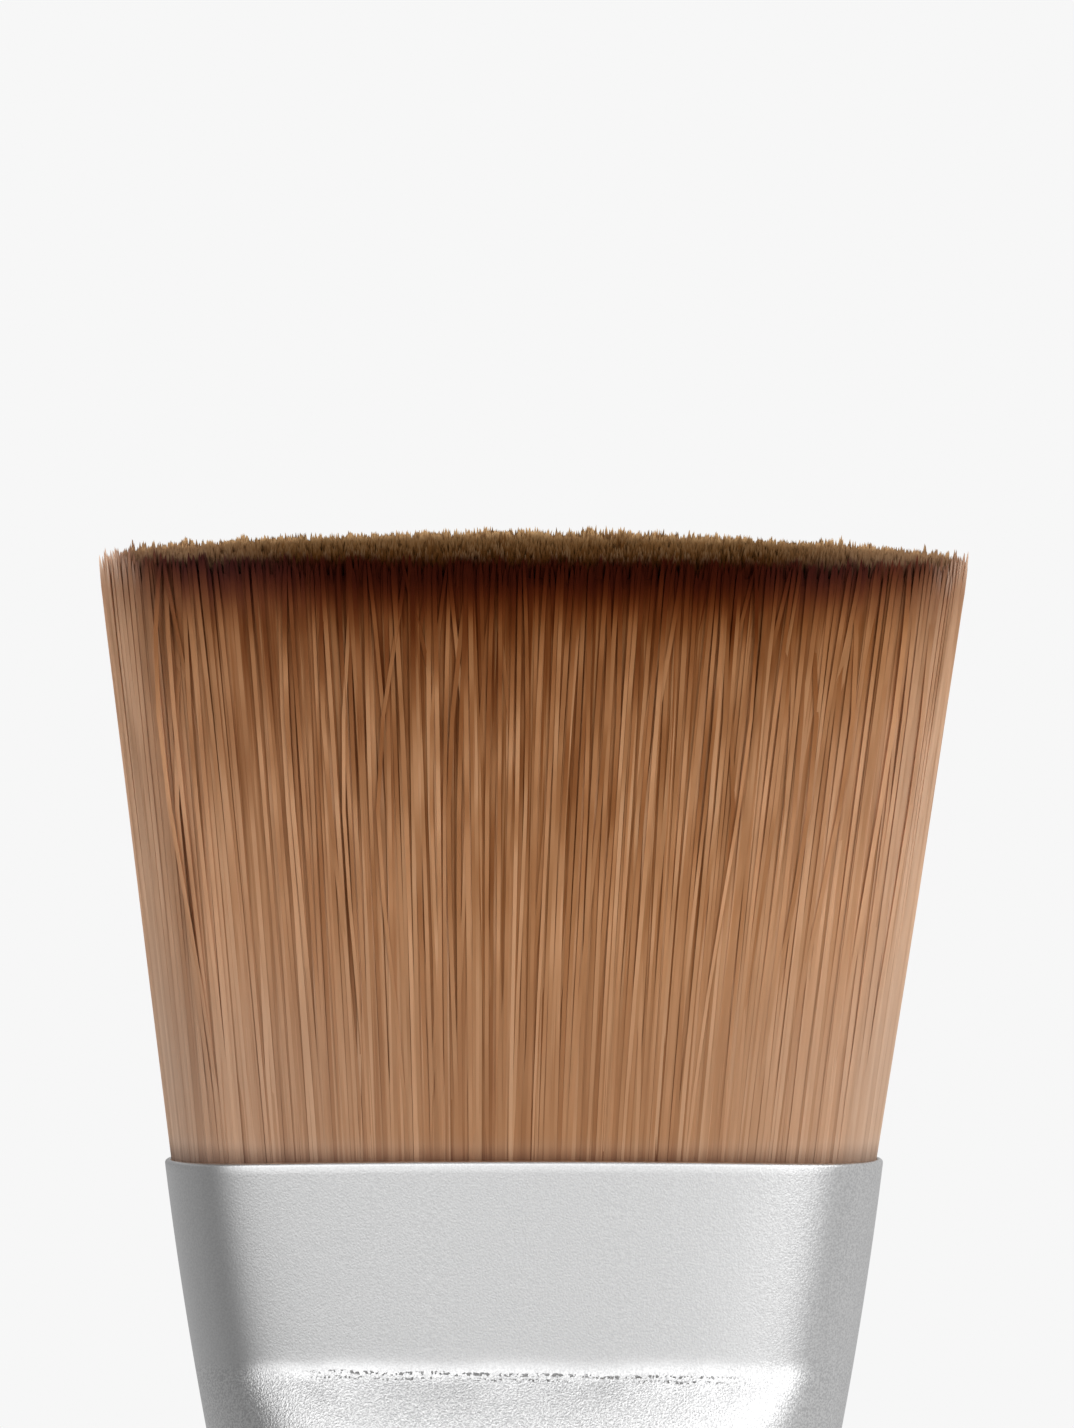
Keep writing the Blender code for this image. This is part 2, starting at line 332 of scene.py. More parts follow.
class Finish:
    """The nodes of a material or a world. Any node comes from node(), and expressions can feed it."""

    def __init__(self, owner):
        owner.use_nodes = True
        self.owner = owner
        self.tree = owner.node_tree
        self.tree.nodes.clear()

    def node(self, kind, settings=None, sockets=None, output=0):
        """Adds a node. Its settings come first, then its sockets get values, or links from signals."""
        added = self.tree.nodes.new("ShaderNode" + kind)
        for name, value in (settings or {}).items():
            if name == "stops":
                self.set_stops(added.color_ramp, value)
            else:
                setattr(added, name, value)
        for name, value in (sockets or {}).items():
            if isinstance(value, Signal):
                self.tree.links.new(value.socket, added.inputs[name])
            else:
                added.inputs[name].default_value = value
        if isinstance(output, tuple):
            return [Signal(self, added.outputs[which]) for which in output]
        return Signal(self, added.outputs[output]) if len(added.outputs) else added

    @staticmethod
    def set_stops(ramp, stops):
        """Gives a colour ramp its stops of (position, colour)."""
        while len(ramp.elements) < len(stops):
            ramp.elements.new(1.0)
        for element, (position, color) in zip(ramp.elements, stops):
            element.position = position
            element.color = (*color, 1.0)

    def blend(self, factor, first, second):
        """A colour between two others."""
        first = first if isinstance(first, Signal) else (*first, 1.0)
        second = second if isinstance(second, Signal) else (*second, 1.0)
        return self.node("Mix", {"data_type": "RGBA"}, {0: factor, 6: first, 7: second}, output=2)

    def tint(self, color, factor):
        """A colour made darker or lighter by a factor."""
        return self.node("VectorMath", {"operation": "SCALE"}, {0: color, "Scale": factor})

    def place(self):
        """Object coordinates."""
        return self.node("TexCoord", output=3)

    def axes(self, vector):
        """The x, y and z of a vector."""
        return self.node("SeparateXYZ", sockets={0: vector}, output=(0, 1, 2))

    def noise(self, scale, detail=2.0, stretch=None):
        """Noise of so many features to the metre, 0 to 1. A stretch scales the coordinates first."""
        where = self.place()
        if stretch:
            where = self.node("Mapping", sockets={"Vector": where, "Scale": stretch})
        return self.node("TexNoise", sockets={"Vector": where, "Scale": scale, "Detail": detail})

    def attribute(self, name):
        """One of the piece's own numbers."""
        return self.node("Attribute", {"attribute_name": name}, output=2)

    def relief(self, height, depth, strength=1.0):
        """A normal that follows a height of 0 to 1, times a depth in metres."""
        return self.node("Bump", sockets={"Height": height, "Distance": depth, "Strength": strength})

    def surface(self, **sockets):
        """The shader and the material's output. An underscore in a socket's name stands for a space."""
        named = {name.replace("_", " "): value for name, value in sockets.items()}
        shader = self.node("BsdfPrincipled", sockets=named)
        self.node("OutputMaterial", sockets={"Surface": shader})
        return self.owner


def new_finish(name):
    """An empty material with its nodes."""
    return Finish(bpy.data.materials.new(name))


def ease(value, low, high):
    """0 below low and 1 above high, and 3s^2 - 2s^3 of the share s between them."""
    share = np.clip((value - low) / (high - low), 0.0, 1.0)
    return share * share * (3 - 2 * share)


def wave_sum(place, waves):
    """The sum of size * sin(rate * place + start) over waves of (size, rate, start)."""
    return sum(size * np.sin(rate * place + start) for size, rate, start in waves)


def mesh_of(name, points, loops, face_sizes):
    """A mesh from arrays: points, the corners of all faces in a row, and each face's count of them."""
    mesh = bpy.data.meshes.new(name)
    mesh.vertices.add(len(points))
    mesh.vertices.foreach_set("co", points.astype(np.float32).ravel())
    mesh.loops.add(len(loops))
    mesh.loops.foreach_set("vertex_index", loops.astype(np.int32))
    mesh.polygons.add(len(face_sizes))
    starts = np.concatenate([[0], np.cumsum(face_sizes)[:-1]])
    mesh.polygons.foreach_set("loop_start", starts.astype(np.int32))
    mesh.update(calc_edges=True)
    mesh.shade_smooth()
    return mesh


def tube_mesh(name, points):
    """The closed skin of a grid of points[row, column]: the rows wrap too, as on a ring's wall."""
    rows, columns = points.shape[:2]
    row, column = np.meshgrid(np.arange(rows), np.arange(columns), indexing="ij")
    below, beside = (row + 1) % rows, (column + 1) % columns
    upper, lower = row * columns, below * columns
    corners = [upper + column, upper + beside, lower + beside, lower + column]
    quads = np.stack(corners, axis=-1).reshape(-1, 4)
    return mesh_of(name, points.reshape(-1, 3), quads.ravel(), np.full(len(quads), 4))


def turned_mesh(name, profile, around):
    """The skin of a profile of (radius, height) turned round Z; its first and last points are poles."""
    inner = profile[1:-1]
    turn = np.arange(around) * math.tau / around
    ring = np.stack([np.cos(turn), np.sin(turn)], axis=-1)
    grid = np.empty((len(inner), around, 3))
    grid[..., :2] = inner[:, None, :1] * ring[None]
    grid[..., 2] = inner[:, None, 1]
    poles = [[0, 0, profile[0, 1]], [0, 0, profile[-1, 1]]]
    points = np.concatenate([grid.reshape(-1, 3), poles])
    row, column = np.meshgrid(np.arange(len(inner) - 1), np.arange(around), indexing="ij")
    beside = (column + 1) % around
    upper, lower = row * around, (row + 1) * around
    quads = np.stack([upper + column, lower + column, lower + beside, upper + beside], axis=-1)
    column, beside = np.arange(around), (np.arange(around) + 1) % around
    first, last = len(points) - 2, len(points) - 1
    last_row = (len(inner) - 1) * around
    top_fan = np.stack([np.full(around, first), column, beside], axis=-1)
    end_fan = np.stack([np.full(around, last), last_row + beside, last_row + column], axis=-1)
    loops = np.concatenate([quads.ravel(), top_fan.ravel(), end_fan.ravel()])
    sizes = np.concatenate([np.full(quads.size // 4, 4), np.full(2 * around, 3)])
    return mesh_of(name, points, loops, sizes)


def add_piece(mesh, finish, slot, *nodes):
    """Puts a finished mesh in the scene, on the root body, in place of the CAD nodes it names."""
    piece = bpy.data.objects.new(mesh.name, mesh)
    piece.data.materials.append(finish)
    bpy.context.scene.collection.objects.link(piece)
    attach(piece, "root")
    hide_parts(*nodes)


def half_width(depth):
    """Half of the ferrule's width: the rim's, less the sides' slope summed over the depth."""
    fine = np.linspace(0.0, SIDE_SLOPE_DEPTHS[-1], 2001)
    slopes = np.interp(fine, SIDE_SLOPE_DEPTHS, SIDE_SLOPES)
    lost = np.concatenate([[0.0], np.cumsum((slopes[1:] + slopes[:-1]) / 2 * np.diff(fine))])
    return RIM_HALF_WIDTH - np.interp(depth, fine, lost)


def half_depth(depth, lower):
    """Half of the ferrule's thickness: flat to a soft crease, then 1 - (1 - s)^p of the way to round.

    The crease lies lower by so much, and the shift fades above and below it as a bell curve.
    """
    lower = lower * np.exp(-(((depth - CREASE_DEPTH) / CREASE_WAVER_REACH) ** 2))
    past = CREASE_SOFTNESS * np.logaddexp(0.0, (depth - CREASE_DEPTH - lower) / CREASE_SOFTNESS)
    share = np.clip(past / (ROUND_DEPTH - CREASE_DEPTH), 0.0, 1.0)
    roundness = 1 - (1 - share) ** SPRING_BACK
    return FLAT_HALF_DEPTH + (half_width(depth) - FLAT_HALF_DEPTH) * roundness


def spread(cosine, flatness):
    """Stretches a circle's middle into a flat face: 1 - (1 - |c|)^flatness, with the sign of c."""
    return np.sign(cosine) * (1 - (1 - np.abs(cosine)) ** flatness)


def crimp(depth):
    """How far the rolled crimps press the wall in: a cosine hollow at each."""
    pressed = np.zeros_like(depth)
    for middle in CRIMP_DEPTHS:
        share = np.clip(np.abs(depth - middle) / CRIMP_HALF_HEIGHT, 0.0, 1.0)
        pressed += CRIMP_INSET * (1 + np.cos(np.pi * share)) / 2
    return pressed


def ferrule_wall():
    """(depth, inset) round the wall: up its outside, over the round lip, and down its inside."""
    lip = SHEET_THICKNESS / 2
    below_rows = np.linspace(FERRULE_LENGTH - lip, CREASE_DEPTH + LOWER_ROWS_STOP, LOWER_ROWS)
    crease_rows = np.linspace(CREASE_DEPTH + CLOSE_REACH, CREASE_DEPTH - CLOSE_REACH, CREASE_ROWS)
    above_rows = np.linspace(CREASE_DEPTH - UPPER_ROWS_STOP, lip, UPPER_ROWS)
    outside = np.concatenate([below_rows, crease_rows, above_rows])
    turn = np.linspace(0.0, np.pi, LIP_ROWS)[1:-1]
    over = np.stack([lip - lip * np.sin(turn), lip - lip * np.cos(turn)], axis=-1)
    inside = np.linspace(lip, FERRULE_LENGTH - lip, INSIDE_ROWS)
    under = np.stack([FERRULE_LENGTH - lip + lip * np.sin(turn), lip + lip * np.cos(turn)], axis=-1)
    outside = np.stack([outside, np.zeros_like(outside)], axis=-1)
    inside = np.stack([inside, np.full_like(inside, SHEET_THICKNESS)], axis=-1)
    return np.concatenate([outside, over, inside, under])


def make_ferrule():
    """Each point of the wall's outline is carried round the oval x = (w - d) f(cos) + d cos, y = d sin.

    The face bows out, and the rim rises, by 1 - (x / w)^2 of their amounts. The crease wavers up and
    down by a sum of sines of the place across.
    """
    depth, inset = ferrule_wall().T[:, :, None]
    pressed = crimp(depth) + inset
    turn = np.arange(FERRULE_AROUND)[None] * math.tau / FERRULE_AROUND
    cosine = np.cos(turn)
    across = spread(cosine, FACE_FLATNESS)
    waver = CREASE_WAVER * wave_sum(across, CREASE_WAVES)
    width, thickness = half_width(depth) - pressed, half_depth(depth, waver) - pressed
    x = (width - thickness) * across + thickness * cosine
    y = thickness * np.sin(turn)
    bow = FACE_BOW * (1 - ease(depth, CREASE_DEPTH, ROUND_DEPTH))
    y += np.sign(y) * bow * (1 - (x / width) ** 2)
    fade = np.clip(1 - depth / RIM_RISE_FADE, 0.0, 1.0)
    z = RIM_HEIGHT - depth + RIM_RISE * fade * (1 - (x / width) ** 2)
    mesh = tube_mesh("ferrule_shell", np.stack([x, y, z], axis=-1))
    add_piece(mesh, blasted_aluminium(), "satin_aluminium", "ferrule")


def handle_profile():
    """(radius, height): a shoulder, END + (NECK - END)(3s^2 - 2s^3) + BELLY sin^2(pi s), a round end."""
    arc = np.linspace(0.0, np.pi / 2, ARC_POINTS)
    shoulder_radius = NECK_RADIUS - SHOULDER_ROUND * (1 - np.sin(arc))
    shoulder = np.stack([shoulder_radius, HANDLE_LENGTH - SHOULDER_ROUND * (1 - np.cos(arc))], axis=-1)
    height = np.linspace(HANDLE_LENGTH - SHOULDER_ROUND, END_ROUND, HANDLE_ROWS)[1:-1]
    share = height / HANDLE_LENGTH
    swell = (NECK_RADIUS - END_RADIUS) * ease(share, 0.0, 1.0) + BELLY * np.sin(np.pi * share) ** 2
    body = np.stack([END_RADIUS + swell, height], axis=-1)
    end_radius = END_RADIUS - END_ROUND * (1 - np.cos(arc))
    end = np.stack([end_radius, END_ROUND * (1 - np.sin(arc))], axis=-1)
    return np.concatenate([[[0.0, HANDLE_LENGTH]], shoulder, body, end, [[0.0, 0.0]]])


def make_handle():
    """The handle's profile, turned round Z."""
    mesh = turned_mesh("handle_body", handle_profile(), HANDLE_AROUND)
    add_piece(mesh, black_lacquer(), "lacquered_wood", "handle")


def reach(x, width, depth, flatness):
    """Half of the head's thickness at a distance x from its middle, read off the oval's outline."""
    cosine = np.linspace(0.0, 1.0, 801)
    across = (width - depth) * spread(cosine, flatness) + depth * cosine
    found = np.interp(np.abs(x), across, cosine)
    return depth * np.sqrt(np.clip(1 - found**2, 0.0, 1.0))


class Head:
    """Where filaments start and end. Each has a place (u, v), -1 to 1 across the width and thickness.

    The roots fill the ferrule's flat oval and the tips a fuller one, under a cut that is crowned both
    ways: its height falls with the squares of the distances from the middle. A filament's facing is the
    turn of the oval's wall beside it. Its inward is how far inside the head it lies: its depth behind
    the nearer face, or half of its distance from the nearer end where that is less.
    """

    def __init__(self, u, v):
        self.u, self.v = u, v
        side = np.abs(u)
        crowded = side + END_CROWDING * ease(side, *END_CROWDING_ZONE) * (1 - side)
        root_x = np.sign(u) * crowded * ROOT_HALF_WIDTH
        packed = np.sign(v) * (1 - (1 - np.abs(v)) ** ROOT_CROWDING)
        root_y = packed * reach(root_x, ROOT_HALF_WIDTH, ROOT_HALF_DEPTH, FACE_FLATNESS)
        root_y += packed * FACE_BOW * (1 - u**2)
        tip_x = u * TIP_HALF_WIDTH
        thickness = reach(tip_x, TIP_HALF_WIDTH, TIP_HALF_DEPTH, TIP_FLATNESS)
        tip_y = v * thickness
        wide = CROWN_WIDE * ((tip_x + CROWN_WIDE_SHIFT) / TIP_HALF_WIDTH) ** 2
        deep = CROWN_DEEP * (1 + CROWN_SKEW * u - CROWN_END * u**2) * (tip_y / TIP_HALF_DEPTH) ** 2
        root_z = np.full_like(u, RIM_HEIGHT - ROOT_DEPTH)
        tip_z = RIM_HEIGHT + FILAMENT_LENGTH - wide - deep
        step = 0.01 * MM
        ahead = reach(tip_x + step, TIP_HALF_WIDTH, TIP_HALF_DEPTH, TIP_FLATNESS)
        turned = np.clip(np.arctan2(thickness - ahead, step), -MOST_TURNED, MOST_TURNED)
        self.facing = np.sign(v) * (math.pi / 2 - turned)
        self.middle = 1 - np.abs(v)
        self.inward = np.minimum(thickness * self.middle, 0.5 * TIP_HALF_WIDTH * (1 - side))
        self.root = np.stack([root_x, root_y, root_z], axis=-1)
        self.tip = np.stack([tip_x + TIP_LEAN, tip_y, tip_z], axis=-1)

    def lines(self, stations):
        """Points at each station, 0 to 1, of the straight lines from root to tip."""
        return self.root[:, None] + (self.tip - self.root)[:, None] * np.atleast_2d(stations)[..., None]


def scattered_places(spacing, jitter, rng):
    """(u, v) on a hexagonal grid over the head's top, each moved by up to jitter of the spacing.

    Close to the head's two ends, ever more of them are left out.
    """
    row_step = spacing * math.sqrt(3) / 2
    rows = np.arange(-TIP_HALF_DEPTH, TIP_HALF_DEPTH, row_step)
    columns = np.arange(-TIP_HALF_WIDTH, TIP_HALF_WIDTH, spacing)
    y, x = np.meshgrid(rows, columns, indexing="ij")
    x = x + spacing / 2 * (np.arange(len(rows)) % 2)[:, None]
    x = (x + rng.uniform(-jitter, jitter, x.shape) * spacing).ravel()
    y = (y + rng.uniform(-jitter, jitter, y.shape) * spacing).ravel()
    limit = reach(x, TIP_HALF_WIDTH, TIP_HALF_DEPTH, TIP_FLATNESS)
    inside = (np.abs(x) < TIP_HALF_WIDTH) & (np.abs(y) < limit)
    crowd = np.clip((1 - np.abs(x) / TIP_HALF_WIDTH) / THIN_END, FEWEST_AT_END, 1.0)
    inside &= rng.random(len(x)) < crowd
    return x[inside] / TIP_HALF_WIDTH, y[inside] / limit[inside]


def nearest(points, centres):
    """The index of the centre that is nearest to each point, seen from above, worked out in blocks."""
    found = []
    for block in np.array_split(points[:, :2], 40):
        gaps = block[:, None] - centres[None, :, :2]
        found.append(np.argmin((gaps**2).sum(axis=-1), axis=1))
    return np.concatenate(found)


def clump_pull(head, stations, kind, rng):
    """Outer filaments drawn sideways to their clump's middle line, by a share that rises with height.

    A clump also leans to one side by up to its sway, in step with the square of its height. The tone of
    each filament's clump comes back too.
    """
    spacing, strength, sway = kind
    clumps = Head(*scattered_places(spacing, CLUMP_JITTER, rng))
    count = len(clumps.u)
    member = nearest(head.tip, clumps.tip)
    start = rng.uniform(0.0, CLUMP_START, count)[member][:, None]
    share = strength * rng.uniform(0.5, 1.0, count)[member][:, None]
    share = share * ease(stations[None], start, start + CLUMP_RISE)
    pull = (clumps.lines(stations)[member] - head.lines(stations))[..., 0] * share
    lean = rng.normal(0.0, sway, count) * (1 - clumps.u**4)
    pull += lean[member][:, None] * stations[None] ** 2
    outer = 1 - ease(head.inward, *CLUMPED_LAYER)
    return pull * outer[:, None], rng.normal(0.0, 1.0, count)[member]


def uneven_cut(head, rng):
    """How much further than others the tips reach, alike in cells narrow across and long in depth."""
    column = ((head.tip[:, 0] + TIP_HALF_WIDTH * 2) / RAGGED_WIDTH).astype(int)
    stagger = RAGGED_STAGGER * (column % 3)
    row = ((head.tip[:, 1] + TIP_HALF_DEPTH * 2 + stagger) / RAGGED_DEPTH).astype(int)
    lengths = rng.normal(0.0, 1.0, (column.max() + 1, row.max() + 1))
    return lengths[column, row]


def filament_paths(head, stations, rng):
    """Lines from root to tip, drawn into clumps, each with a slight bow, a sine of its height.

    The tone of each filament's clump comes with them, and how far each tip stands proud of the cut.
    """
    count = len(head.u)
    fine, fine_tone = clump_pull(head, stations, FINE_CLUMPS, rng)
    coarse, _ = clump_pull(head, stations, COARSE_CLUMPS, rng)
    paths = head.lines(stations)
    calm = 1 - CALM_RIGHT * ease(head.u, *CALM_ZONE) - CALM_LEFT * ease(-head.u, *CALM_ZONE)
    paths[..., 0] += (fine + coarse) * calm[:, None]
    stray = rng.random(count) < STRAY_SHARE
    bow = np.where(stray, STRAY_BOW, STEADY_BOW) * rng.normal(0.0, 1.0, count) * (1 - head.u**4)
    swing = np.sin(np.pi * stations[None] ** BOW_RISE * rng.uniform(0.5, 1.5, count)[:, None])
    paths[..., 0] += bow[:, None] * swing
    cut = uneven_cut(head, rng)
    side = np.abs(head.u)
    near_end = ease(side, *FRAYED_FROM) * (1 - ease(side, *FRAYED_TO))
    cut += FRAYED * np.minimum(cut + 0.5, 0.0) * near_end
    ragged = rng.normal(0.0, RAGGED_SCATTER, count) + RAGGED * cut
    paths[..., 2] += ragged[:, None] * stations[None] ** RAGGED_RISE
    return paths, CLUMP_TONE * fine_tone, ragged


def filament_mesh(name, paths, radii, turns):
    """Three-sided strands: a small triangle carried along each path, drawn to a point at the tip."""
    count, rings = paths.shape[0], paths.shape[1] - 1
    corner = turns[:, None] + np.arange(3)[None] * math.tau / 3
    ring = np.stack([np.cos(corner), np.sin(corner), np.zeros_like(corner)], axis=-1)
    skin = paths[:, :-1, None] + ring[:, None] * radii[:, :-1, None, None]
    points = np.concatenate([skin.reshape(count, -1, 3), paths[:, -1:]], axis=1)
    a, b = np.arange(3), (np.arange(3) + 1) % 3
    step = 3 * np.arange(rings - 1)[:, None]
    sides = np.stack([step + a, step + b, step + b + 3, step + a + 3], axis=-1).reshape(-1)
    last = 3 * (rings - 1)
    point = np.stack([last + a, last + b, np.full(3, 3 * rings)], axis=-1).reshape(-1)
    cap = np.array([2, 1, 0])
    one = np.concatenate([sides, point, cap])
    loops = one[None] + (np.arange(count) * points.shape[1])[:, None]
    sizes = np.tile([4] * (3 * (rings - 1)) + [3] * 4, count)
    mesh = mesh_of(name, points.reshape(-1, 3), loops.ravel(), sizes)
    mesh.shade_flat()
    return mesh


def keep_number(mesh, name, values):
    """Keeps a number at each point of a mesh, for its finish to read."""
    attribute = mesh.attributes.new(name, "FLOAT", "POINT")
    attribute.data.foreach_set("value", values.astype(np.float32).ravel())


def make_strands(name, head, chosen, stations, facts, finish):
    """One piece of the chosen filaments, with their facts kept at each point for the finish.

    The radius rises slightly with height, and near the tip it falls with the square root of the
    distance that is left, over a longer stretch at the head's two ends.
    """
    paths = facts["paths"][chosen]
    from_tip = (1 - stations) * STRAND_LENGTH
    longer = LONGER_TAPER * ease(np.abs(head.u[chosen]), *LONGER_TAPER_ZONE)
    taper_length = TAPER_LENGTH * (1 + longer)
    taper = np.clip(from_tip[None] / taper_length[:, None], 0.0, 1.0) ** 0.5
    radii = facts["radius"][chosen][:, None] * taper * (RADIUS_AT_ROOT + RADIUS_GAIN * stations)
    mesh = filament_mesh(name, paths, radii, facts["turn"][chosen])
    along = np.append(np.repeat(from_tip[:-1], 3), from_tip[-1])
    keep_number(mesh, "from_tip", np.tile(along, chosen.sum()))
    for fact in ("tone", "dye", "inward", "middle", "across", "proud"):
        keep_number(mesh, fact, np.repeat(facts[fact][chosen], len(along)))
    add_piece(mesh, finish, "filament", "bristles")


def packed_mesh(rng):
    """A closed skin just under the outer filaments, in slices up the front and down the back.

    It stands for the filaments packed behind them. Each slice has its own tone and dye, as a filament
    has. At the top, the front and the back curl in towards each other.
    """
    u = np.linspace(-PACKED_HALF_WIDTH, PACKED_HALF_WIDTH, PACKED_COLUMNS)
    side = np.abs(u)
    thickness = reach(u * TIP_HALF_WIDTH, TIP_HALF_WIDTH, TIP_HALF_DEPTH, TIP_FLATNESS)
    lower = PACKED_LOWER_ENDS * ease(side, PACKED_LOWER_FROM, PACKED_HALF_WIDTH)
    top = 1 - (PACKED_BELOW_TIP + lower) / FILAMENT_LENGTH
    stations = np.linspace(0.0, 1.0, PACKED_ROWS)[None] ** PACKED_ROW_CROWDING * top[:, None]
    curl = ease(stations, top[:, None] - PACKED_CURL_HEIGHT / FILAMENT_LENGTH, top[:, None])
    curl = curl * PACKED_CURL * thickness[:, None]
    under = PACKED_DEPTH * (1 - PACKED_SHALLOWER * ease(side, *PACKED_SHALLOWER_ZONE)) / thickness
    front = Head(u, under - 1).lines(stations)
    front[..., 1] += curl
    back = Head(u, 1 - under).lines(stations[:, ::-1])
    back[..., 1] -= curl[:, ::-1]
    points = np.concatenate([front, back], axis=1)
    columns, rows = points.shape[:2]
    column, row = np.meshgrid(np.arange(columns - 1), np.arange(rows), indexing="ij")
    above = (row + 1) % rows
    here, beside = column * rows, (column + 1) * rows
    quads = np.stack([here + row, beside + row, beside + above, here + above], axis=-1)
    first, last = np.arange(rows), (columns - 1) * rows + np.arange(rows)[::-1]
    loops = np.concatenate([quads.ravel(), first, last])
    sizes = np.concatenate([np.full(quads.size // 4, 4), [rows, rows]])
    mesh = mesh_of("packed_filaments", points.reshape(-1, 3), loops, sizes)
    up_and_down = np.concatenate([stations, stations[:, ::-1]], axis=1)
    keep_number(mesh, "from_tip", (1 - up_and_down) * STRAND_LENGTH)
    facts = {
        "tone": rng.normal(0.0, FILAMENT_TONE, columns),
        "dye": dye_shift(u, rng),
        "inward": np.full(columns, PACKED_INWARD),
        "across": u,
    }
    for fact, values in facts.items():
        keep_number(mesh, fact, np.repeat(values, rows))
    return mesh


def dye_shift(u, rng):
    """How much nearer to the tip the dark band ends: a little from side to side, and far more at the two
    ends, where it is partly dye and partly painted light from the sides.
    """
    # Painted light in part: at the two ends, light from the sides shortens the dark band
    ends = np.where(u < 0, DYE_AND_LIGHT_END_LEFT, DYE_AND_LIGHT_END_RIGHT) * u**DYE_AND_LIGHT_END_POWER
    scatter = rng.normal(0.0, DYE_SCATTER, len(u))
    return (scatter + wave_sum(u, DYE_WAVES) + DYE_BOW * u**2 + ends) * MM


def make_head():
    """All of the filaments: tufts of those that show, from side to side, and cores of those inside."""
    rng = np.random.default_rng(SEED)
    head = Head(*scattered_places(TIP_SPACING, TIP_JITTER, rng))
    stations = np.concatenate([RINGS_UP, 1 - RINGS_FROM_TIP / STRAND_LENGTH])
    count = len(head.u)
    paths, clump_tone, ragged = filament_paths(head, stations, rng)
    radius = FILAMENT_RADIUS * rng.uniform(*RADIUS_SCATTER, count)
    facts = {
        "radius": radius * (1 + WIDER_AT_ENDS * ease(np.abs(head.u), *WIDER_ZONE)),
        "turn": head.facing + math.pi + rng.normal(0.0, TURN_SCATTER, count),
        "tone": rng.normal(0.0, FILAMENT_TONE, count) + clump_tone,
        "dye": dye_shift(head.u, rng),
        "inward": head.inward,
        "middle": head.middle,
        "across": head.u,
        "proud": ragged,
    }
    finish = dyed_filament()
    add_piece(packed_mesh(rng), finish, "filament", "bristles")
    shown = (head.inward < SHOWN_DEPTH) | (np.abs(head.u) > SHOWN_ENDS)
    kinds = [("tuft", TUFTS, shown, ALL_RINGS), ("core", CORES, ~shown, CORE_RINGS)]
    for kind, parts, members, rings in kinds:
        facts["paths"] = paths[:, rings]
        part = np.clip(((head.u + 1) / 2 * parts).astype(int), 0, parts - 1)
        for number in range(parts):
            chosen = members & (part == number)
            make_strands(f"{kind}_{number + 1}", head, chosen, stations[rings], facts, finish)


class Strand:
    """The numbers kept along the filaments, as signals for their finish."""

    def __init__(self, finish):
        self.finish = finish
        self.from_tip = finish.attribute("from_tip")
        self.dye = finish.attribute("dye")
        self.tone = finish.attribute("tone")
        self.inward = finish.attribute("inward")
        self.middle = finish.attribute("middle")
        self.proud = finish.attribute("proud")
        self.rightward = finish.attribute("across")
        self.leftward = 0 - self.rightward
        self.off_centre = abs(self.rightward)
        # Rises from the head's middle to its two ends
        self.side = self.off_centre.between(0.3, 0.9)
        # Rises from the outermost filaments to those behind them
        self.deep = self.inward.between(0.05 * MM, 0.35 * MM)

    def down(self, start, end):
        """0 down to start millimetres from the tip, and 1 from end millimetres down."""
        return self.from_tip.between(start * MM, end * MM)

    def streaks(self, width, length):
        """Noise of -0.5 to 0.5 that follows the filaments, in streaks so wide and so long."""
        sockets = {0: self.rightward * (TIP_HALF_WIDTH / width), 1: self.from_tip / length}
        where = self.finish.node("CombineXYZ", sockets=sockets)
        sockets = {"Vector": where, "Scale": 1.0, "Detail": 2.0}
        return self.finish.node("TexNoise", sockets=sockets) - 0.5


def strand_tone(strand):
    """Darker and lighter strands: their own tone, strongest low down, and streaks, strongest high up.

    The head's sides are calmer, and have no very light strands.
    """
    fine = strand.streaks(*FINE_STREAKS) * (1.4 - strand.down(8, 20) * 1.0)
    wide = strand.streaks(*WIDE_STREAKS) * (1.3 - strand.down(6, 14) * 1.2)
    tone = strand.tone * (0.4 + strand.down(5, 14) * 0.65) + fine + wide
    return tone.maths("MAXIMUM", tone * (1 - strand.side * 0.35), strand.side * 0.11 - 0.2)


def dye_and_shade_density(strand):
    """The power that the root's brown is raised to: the dye's, times what strand and place add, with
    painted shade and light.
    """
    stops = []
    for distance, power in DYE_POWERS:
        stops.append((distance * MM / FILAMENT_LENGTH, (power / MOST_POWER,) * 3))
    along = (strand.from_tip + strand.dye) / FILAMENT_LENGTH
    dyed = strand.finish.node("ValToRGB", {"stops": stops}, {"Fac": along}) * MOST_POWER
    density = dyed * (1 + strand_tone(strand) * (0.1 + strand.down(0.8, 3) * 0.9))
    # Painted shade: deeper in the head, where shade falls between the strands, it is darker, most of all
    # low down and away from the sides
    painted_inner_shade = (0.1 + strand.down(1, 10) * 0.4) * (1 - strand.side * 0.6)
    density = density * (1 + strand.deep * painted_inner_shade)
    # The ferrule's mouth shades the roots
    density = density * (1 + strand.down(24.0, 25.1) * 0.5)
    # Painted light: towards both ends of the head, and more on the right, the strands are paler, as side
    # light and sheen make them
    painted_side_light = strand.off_centre.between(0.3, 1.0) * 0.15 + strand.rightward.between(0.0, 0.9) * 0.045
    painted_side_light = painted_side_light + strand.leftward.between(0.88, 1.0) * 0.14
    painted_side_light = painted_side_light + strand.rightward.between(0.7, 0.86) * 0.08
    painted_side_light = painted_side_light + strand.rightward.between(0.88, 1.0) * 0.07
    return density * (1 - painted_side_light)


def sheen_dulling(strand):
    """How much colour the brown loses: to a painted sheen on the left, low down and at the two ends, and
    near the roots.
    """
    sheen_loss = strand.leftward.between(-0.1, 1.0) * (0.04 + strand.down(3, 20) * 0.06)
    sheen_loss = sheen_loss + strand.down(23.5, 25) * 0.15
    sheen_loss = sheen_loss + strand.down(14, 22) * (0.04 + strand.side * 0.05)
    sheen_loss = sheen_loss + strand.rightward.between(0.3, 0.9) * strand.down(4, 10) * 0.05
    return sheen_loss + strand.off_centre.between(0.8, 0.96) * 0.1


